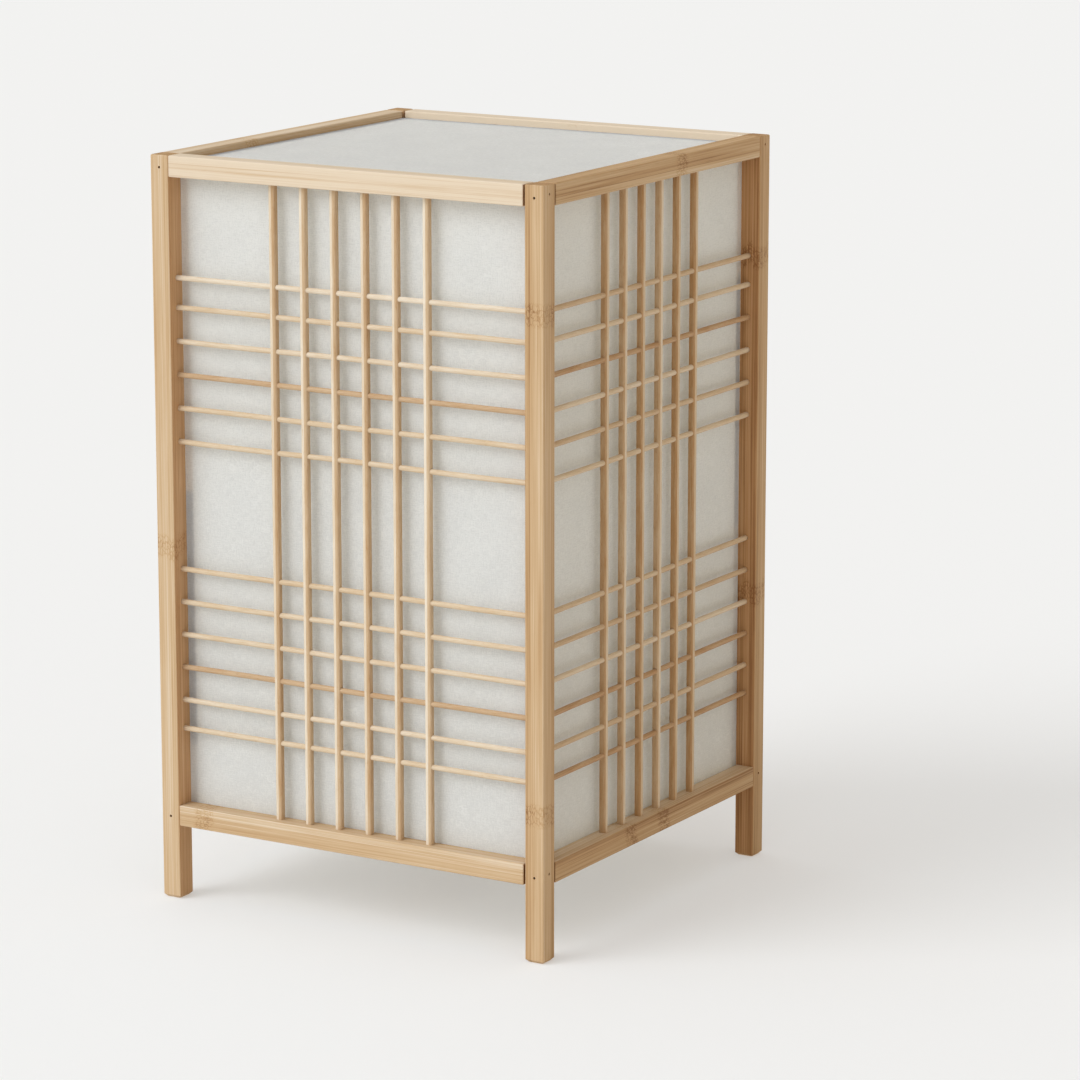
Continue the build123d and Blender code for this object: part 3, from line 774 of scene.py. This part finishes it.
# %% Make the lattice of each side
sides = {"front": 0, "right": 1, "back": 2, "left": 3}
STRIP_SEED = 40
ROD_SEED = 60
NO_ROD = 9
brown_rods = {
    "front_upper": (3, NO_ROD, NO_ROD), "front_lower": (2, NO_ROD, NO_ROD),
    "right_upper": (2, NO_ROD, NO_ROD), "right_lower": (0, 2, NO_ROD),
    "back_upper": (1, 5, NO_ROD), "back_lower": (4, NO_ROD, NO_ROD),
    "left_upper": (2, NO_ROD, NO_ROD), "left_lower": (1, 4, NO_ROD),
}
rod_ripeness = {"front": 0.12, "right": 0.34, "back": 0.12, "left": 0.12}
# where the painted shade band lies on the laths of each side
lath_shade_bands = {
    "front": {"Ripeness": 0.05, "Hand": 1.0, "Layer": 0.0},
    "right": {"Ripeness": 0.35, "Hand": -1.0, "Layer": 1.2},
    "back": {"Ripeness": 0.15, "Hand": 1.0, "Layer": 1.0},
    "left": {"Ripeness": 0.2, "Hand": -1.0, "Layer": 1.0},
}
lattice_faces = 0
for side, quarter in sides.items():
    turn = Matrix.Rotation(quarter * math.pi / 2, 4, "Z")
    laths = grow(
        strips, side + "_laths", turn,
        Low=strip_low.z, High=strip_high.z, Seed=STRIP_SEED + quarter, Finish=strip_finish,
        **lath_shade_bands[side],
    )
    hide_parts(side + "_strips")
    made = [laths]
    for group, start, way in (("upper", highest_rod, -1.0), ("lower", lowest_rod, 1.0)):
        brown = {f"Brown_rod_{n}": float(rod) for n, rod in enumerate(brown_rods[f"{side}_{group}"], 1)}
        dowels = grow(
            rods, f"{side}_{group}_dowels", turn,
            First=start, Way=way, Reach=rod_end.x, Ripeness=rod_ripeness[side],
            Seed=ROD_SEED + 10 * quarter + int(way), Finish=rod_finish, **brown,
        )
        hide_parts(f"{side}_{group}_rods")
        made.append(dowels)
    for piece in made:
        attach(piece, "lamp_frame")
        lattice_faces += len(piece.data.polygons)
print("lattice:", 3 * len(sides), "pieces,", lattice_faces, "faces")

# %% [markdown]
# ## Paper
# The shade is mulberry paper: a thin off-white sheet in which long fibres lie in all directions.
# It is glued wet to the frame and dries tight, so it is flat to within a fraction of a millimetre,
# with a slight cockle between its glued edges. A flat plane would look like plastic board, because
# the light on it wouldn't change at all.
# The sheet is a recipe: a thin closed slab, fine enough to be pushed in by noise that fades out at
# the edges. A second recipe scatters the thickest fibres on its face as real geometry, and the
# material draws the many finer ones: `clouds` is the uneven pulp, `grit` and `strands` are short
# fibres, and `wisps` are single long ones. Each sheet reads its pattern at a depth of its own in
# the noise, so no two are alike. Paper lets some light through, so the material mixes a
# translucent shader in: light that enters the front sheet leaves through the side in shade.

# %% Paper and its fibres
LET_THROUGH = 0.50
WARMED = (1.0, 0.975, 0.92)


def paper(name, thin_colour, thick_colour):
    """Reads grain, the place on the sheet in mm, from the mesh."""
    finish = Finish(name)
    across, up_sheet, sheet_number = finish.parts(finish.kept("grain", "Vector"))
    clouds = finish.noise(across / 34, up_sheet / 34, sheet_number, 4.0, 0.6)
    grit = finish.noise(across / 1.1, up_sheet / 1.1, sheet_number, 3.0, 0.7)
    strands = finish.noise(across / 0.8, up_sheet / 6, sheet_number + 2.0, 2.0)
    strands = strands + finish.noise(across / 6, up_sheet / 0.8, sheet_number + 3.0, 2.0)
    here = finish.noise(across / 40, up_sheet / 40, sheet_number + 9.0, 2.0).rise(0.48, 0.62)
    field = finish.noise(across / 23, up_sheet / 31, sheet_number + 5.0, 2.0, 0.5)
    wisps = abs(field - 0.5).rise(0.008, 0.001) * here
    depth = (
        (clouds - 0.5) * 0.7
        + (grit - 0.5) * 2.8
        + (strands - 1.0) * 1.8
        + wisps * 0.6
        # painted shade: up_sheet / 1400 paints each side sheet darker towards its bottom and lighter towards
        # its top, for the light that falls off lower down
        + up_sheet / 1400
        + 0.5
    )
    colour = finish.ramp(depth, (0.0, thin_colour), (1.0, thick_colour))
    normal = finish.bump(grit + wisps * 0.5, 0.05, 0.4)
    face = finish.shader(Base_Color=colour, Roughness=0.85, Normal=normal, Specular_IOR_Level=0.2)
    shone_through = finish.mixed(1.0, colour, WARMED, "MULTIPLY")
    glow = finish.node("ShaderNodeBsdfTranslucent", None, {"Color": shone_through, "Normal": normal})
    return finish.done(finish.node("ShaderNodeMixShader", None, (LET_THROUGH, face, glow)))


sheet_finish = paper("mulberry_paper", (0.86, 0.87, 0.875), (0.97, 0.98, 0.985))
fibre_finish = paper("mulberry_fibres", (0.93, 0.935, 0.94), (0.98, 0.985, 0.985))

# %% Recipe: a stretched sheet
CELL = 7 * MM
COCKLE = 0.1 * MM
COCKLE_WIDE = 75 * MM
COCKLE_TALL = 110 * MM
GLUED_EDGE = 9 * MM
SHEETS_APART = 31


def cockle(recipe, width, height, number):
    """How far the sheet is pulled in, which is nothing at its glued edges."""
    x, y, z = recipe.parts(recipe.position())
    swell = recipe.noise(x / COCKLE_WIDE, y / COCKLE_TALL, number, 2.0)
    inside = (width / 2 - abs(x)).at_most(height / 2 - abs(y)).rise(GLUED_EDGE, 4 * GLUED_EDGE)
    return swell * inside * COCKLE


sheets = Recipe("stretched_sheet")
width = sheets.size("Width")
height = sheets.size("Height")
thickness = sheets.size("Thickness")
number = sheets.size("Number")
cells = {"Vertices X": width / CELL, "Vertices Y": height / CELL, "Vertices Z": 2}
slab = sheets.node("GeometryNodeMeshCube", None, {"Size": sheets.vector(width, height, thickness), **cells})
x, y, z = sheets.parts(sheets.scaled(sheets.position(), 1 / MM))
slab = sheets.store(slab, "grain", sheets.vector(x, y, number * SHEETS_APART), "FLOAT_VECTOR")
slab = sheets.moved(slab, sheets.vector(0.0, 0.0, 0 - cockle(sheets, width, height, number)))
sheets.done(slab)

# %% Recipe: long fibres on a sheet
FIBRE_RADIUS = 0.07 * MM
FIBRE_LENGTH = 24 * MM
FIBRE_SWAY = 10 * MM
FIBRE_WAVE = 16 * MM
FIBRES_PER_M2 = 600.0

fibres = Recipe("long_fibres")
width = fibres.size("Width")
height = fibres.size("Height")
thickness = fibres.size("Thickness")
number = fibres.size("Number")
seed = fibres.size("Seed", "Int")
bed = fibres.node(
    "GeometryNodeMeshGrid", None, (width - 1.5 * FIBRE_LENGTH, height - 1.5 * FIBRE_LENGTH, 2, 2)
)
spots = fibres.node(
    "GeometryNodeDistributePointsOnFaces", None, {"Mesh": bed, "Density": FIBRES_PER_M2, "Seed": seed}
)
thread = fibres.node(
    "GeometryNodeCurvePrimitiveLine", None, ((-FIBRE_LENGTH / 2, 0, 0), (FIBRE_LENGTH / 2, 0, 0))
)
thread = fibres.node("GeometryNodeResampleCurve", None, {"Curve": thread, "Count": 9})
angle = fibres.vector(0.0, 0.0, fibres.random(0.0, math.pi, seed + 1))
stretch = fibres.random(0.35, 1.3, seed + 2)
threads = fibres.node(
    "GeometryNodeInstanceOnPoints", None,
    {"Points": spots, "Instance": thread, "Rotation": angle, "Scale": fibres.vector(stretch, 1.0, 1.0)},
)
threads = fibres.node("GeometryNodeRealizeInstances", None, (threads,))
x, y, z = fibres.parts(fibres.position())
wave = [x / FIBRE_WAVE, y / FIBRE_WAVE]
sway = [fibres.noise(*wave, number + 20.0 * i, 1.0) - 0.5 for i in (1, 2)]
lift = thickness / 2 - cockle(fibres, width, height, number)
threads = fibres.moved(threads, fibres.vector(sway[0] * FIBRE_SWAY, sway[1] * FIBRE_SWAY, lift))
around = fibres.node("GeometryNodeCurvePrimitiveCircle", None, {"Resolution": 3, "Radius": FIBRE_RADIUS})
threads = fibres.node(
    "GeometryNodeCurveToMesh", None, {"Curve": threads, "Profile Curve": around, "Fill Caps": True}
)
x, y, z = fibres.parts(fibres.scaled(fibres.position(), 1 / MM))
threads = fibres.store(threads, "grain", fibres.vector(x, y, number * SHEETS_APART), "FLOAT_VECTOR")
fibres.done(threads)

# %% Stretch the five sheets
FIBRE_SEED = 80
paper_faces = 0
for number, name in enumerate(["front", "right", "back", "left", "top"]):
    low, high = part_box("paper_" + name)
    place = (low + high) / 2
    size = high - low
    if name == "top":
        flat = (size.x, size.y, size.z)
        turn = Matrix.Translation(place)
    else:
        across = max(size.x, size.y)
        flat = (across, size.z, min(size.x, size.y))
        stand_up = Matrix.Rotation(sides[name] * math.pi / 2, 4, "Z") @ Matrix.Rotation(math.pi / 2, 4, "X")
        turn = Matrix.Translation(place) @ stand_up
    measures = {"Width": flat[0], "Height": flat[1], "Thickness": flat[2], "Number": float(number)}
    sheet = grow(sheets, name + "_sheet", turn, Finish=sheet_finish, **measures)
    long_fibres = grow(
        fibres, name + "_fibres", turn, Finish=fibre_finish, Seed=FIBRE_SEED + number, **measures
    )
    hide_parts("paper_" + name)
    for piece in (sheet, long_fibres):
        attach(piece, "lamp_frame")
        paper_faces += len(piece.data.polygons)
print("paper: 5 sheets,", paper_faces, "faces")

# %% [markdown]
# ## Battens
# Softwood battens, which only show from below, hold the paper in the corners and under the top,
# and a bar between the front and back rails carries the lamp holder. Softwood is sawn across its
# growth rings, which show as bands along the piece.

# %% Softwood
EARLY_WOOD = (0.70, 0.58, 0.42)
MIDDLE_WOOD = (0.60, 0.46, 0.30)
LATE_WOOD = (0.44, 0.29, 0.16)


def softwood(name, along, seed):
    """Sawn wood whose fibres run along one axis."""
    finish = Finish(name)
    spot = finish.place()
    across = [spot[i] for i in range(3) if i != along]
    fibre = spot[along]
    warp = finish.noise(across[0] / 9, across[1] / 9, fibre / 160 + seed, 2.0) * 5
    rings = finish.noise(across[0] / 1.3 + warp, across[1] / 2.6, fibre / 300 + seed, 1.0).rise(0.40, 0.62)
    fine = finish.noise(across[0] / 0.3, across[1] / 0.3, fibre / 18 + seed, 3.0, 0.6)
    depth = rings * 0.45 + (fine - 0.5) * 0.5 + 0.2
    surface = finish.shader(
        Base_Color=finish.ramp(depth, (0.0, EARLY_WOOD), (0.5, MIDDLE_WOOD), (1.0, LATE_WOOD)),
        Roughness=fine * 0.15 + 0.55,
        Normal=finish.bump(fine + rings * 0.4, 0.05, 0.6),
        Specular_IOR_Level=0.3,
    )
    return finish.done(surface)


battens = {
    "softwood_upright": (Z, 31, [n for n in nodes if n.startswith("corner_bead")]),
    "softwood_across": (X, 33, ["top_cleat_front", "top_cleat_back"]),
    "softwood_deep": (Y, 35, ["top_cleat_left", "top_cleat_right", "cross_bar"]),
}
for name, (along, seed, pieces) in battens.items():
    finish = softwood(name, along, seed)
    for piece in pieces:
        nodes[piece].material_slots[0].material = finish
print("softwood on", sum(len(b[2]) for b in battens.values()), "battens")

# %% [markdown]
# ## Metal, plastic, ceramic and the bulb
# The screws, the nut and the nipple are zinc plated steel, the contacts brass, and the bulb's cap
# is rolled and nickel plated. Each metal is a Principled shader with Metallic at 1, whose tone and
# roughness change a little from place to place, as they do on any handled metal. The brads through
# the posts are sunk below the face, and their heads get painted shade: they are near black and
# dull, darker than blackened steel, for the shade inside each sunk hole, so that each shows as a
# small dark dot. The holder is black moulded plastic with a fine spark texture, and the bulb is
# white plastic under an opal globe. Each finish in the table has its kind, its colour, what the
# colour wears to, its roughness, the size of its grain in mm and, where it is glossy, the weight
# of a clear coat.

# %% Small finishes
def metal(name, bright, dull, roughness, grain_mm):
    """Bright metal with dull, tarnished patches and drawn-out scratches."""
    finish = Finish(name)
    x, y, z = finish.place()
    tarnish = finish.noise(x / 4, y / 4, z / 4, 4.0, 0.6)
    scratches = finish.noise(x / grain_mm, y / grain_mm, z / (grain_mm * 0.2), 2.0, 0.6)
    surface = finish.shader(
        Base_Color=finish.mixed(tarnish.rise(0.35, 0.70), bright, dull),
        Metallic=1.0,
        Roughness=scratches * 0.18 + tarnish * 0.12 + (roughness - 0.15),
        Normal=finish.bump(scratches, 0.01, 0.4),
    )
    return finish.done(surface)


def moulded(name, colour, worn, roughness, grain_mm, coat=0.0):
    """An even colour with a fine grain, dustier or more worn in patches."""
    finish = Finish(name)
    x, y, z = finish.place()
    grain = finish.noise(x / grain_mm, y / grain_mm, z / grain_mm, 2.0, 0.6)
    dust = finish.noise(x / 7, y / 7, z / 7, 4.0, 0.65).rise(0.45, 0.80)
    surface = finish.shader(
        Base_Color=finish.mixed(dust * 0.6, colour, worn),
        Roughness=grain * 0.12 + dust * 0.1 + (roughness - 0.08),
        Normal=finish.bump(grain, 0.02, 0.5),
        Coat_Weight=coat,
    )
    return finish.done(surface)


small_finishes = {
    "zinc_plate": (metal, (0.60, 0.59, 0.57), (0.40, 0.39, 0.37), 0.36, 0.8),
    # painted shade: the brad heads are near black and dull, darker than steel, for the shade inside the sunk
    # holes
    "dark_brad": (moulded, (0.012, 0.010, 0.009), (0.024, 0.019, 0.015), 0.6, 0.6),
    "brass": (metal, (0.80, 0.60, 0.28), (0.58, 0.42, 0.20), 0.30, 0.8),
    "nickel": (metal, (0.74, 0.73, 0.71), (0.60, 0.59, 0.57), 0.26, 0.8),
    "black_plastic": (moulded, (0.035, 0.035, 0.036), (0.07, 0.068, 0.065), 0.42, 0.35),
    "white_glaze": (moulded, (0.83, 0.82, 0.78), (0.74, 0.72, 0.68), 0.22, 1.5, 0.6),
    "dark_glass": (moulded, (0.04, 0.04, 0.045), (0.09, 0.09, 0.09), 0.20, 1.2, 0.5),
    "white_plastic": (moulded, (0.80, 0.80, 0.785), (0.72, 0.71, 0.69), 0.32, 0.4, 0.2),
    "board_mask": (moulded, (0.82, 0.82, 0.80), (0.70, 0.70, 0.68), 0.35, 0.6),
    "opal_glass": (moulded, (0.86, 0.86, 0.845), (0.81, 0.81, 0.79), 0.22, 3.0, 0.4),
}
wearers = {
    "zinc_plate": ["bar_screws", "holder_nut", "holder_nipple"],
    "dark_brad": ["frame_brads"],
    "brass": ["centre_contact", "terminal_screws", "thread_sleeve", "bulb_tip"],
    "nickel": ["bulb_screw_cap"],
    "black_plastic": ["cord_grip", "holder_cap", "holder_shell"],
    "white_glaze": ["holder_insulator"],
    "dark_glass": ["bulb_cap_insulator"],
    "white_plastic": ["bulb_housing"],
    "board_mask": ["bulb_board"],
    "opal_glass": ["bulb_globe"],
}
for name, pieces in wearers.items():
    make, *look = small_finishes[name]
    finish = make(name, *look)
    for piece in pieces:
        nodes[piece].material_slots[0].material = finish
dressed = set(frame_boards)
dressed.update(*(pieces for along, seed, pieces in battens.values()), *wearers.values())
shown = {o["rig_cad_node"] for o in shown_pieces() if "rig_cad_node" in o}
print("solids still plain:", sorted(shown - dressed))
